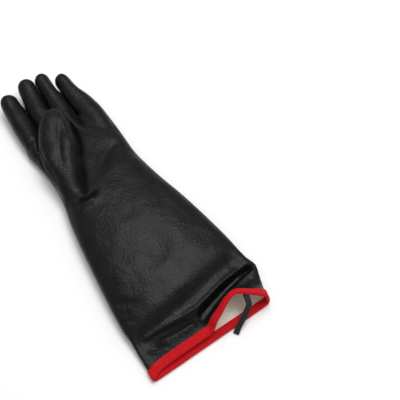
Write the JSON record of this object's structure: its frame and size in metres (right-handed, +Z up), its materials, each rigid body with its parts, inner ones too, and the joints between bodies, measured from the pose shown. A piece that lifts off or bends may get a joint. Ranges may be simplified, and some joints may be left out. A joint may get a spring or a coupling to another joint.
{
  "type": "neoprene gauntlet glove",
  "caption": "A long hollow work glove for the left hand, lying palm up with its thumb over the palm, bound at the mouth and lined with cotton.",
  "frame": {"origin": "on the floor under the middle of the glove's box", "axes": "+Y from the mouth to the fingertips, +Z up out of the palm, +X to the right seen from the mouth"},
  "size_m": [0.183, 0.4742, 0.0537],
  "materials": {
    "neoprene": "satin, with a fine grain",
    "cotton": "matt, knitted",
    "red_tape": "matt, woven",
    "black_tape": "matt, woven"
  },
  "bodies": {
    "root": {"shell": "neoprene", "lining": "cotton", "edge_binding": "red_tape", "hang_loop": "black_tape"}
  },
  "joints": []
}
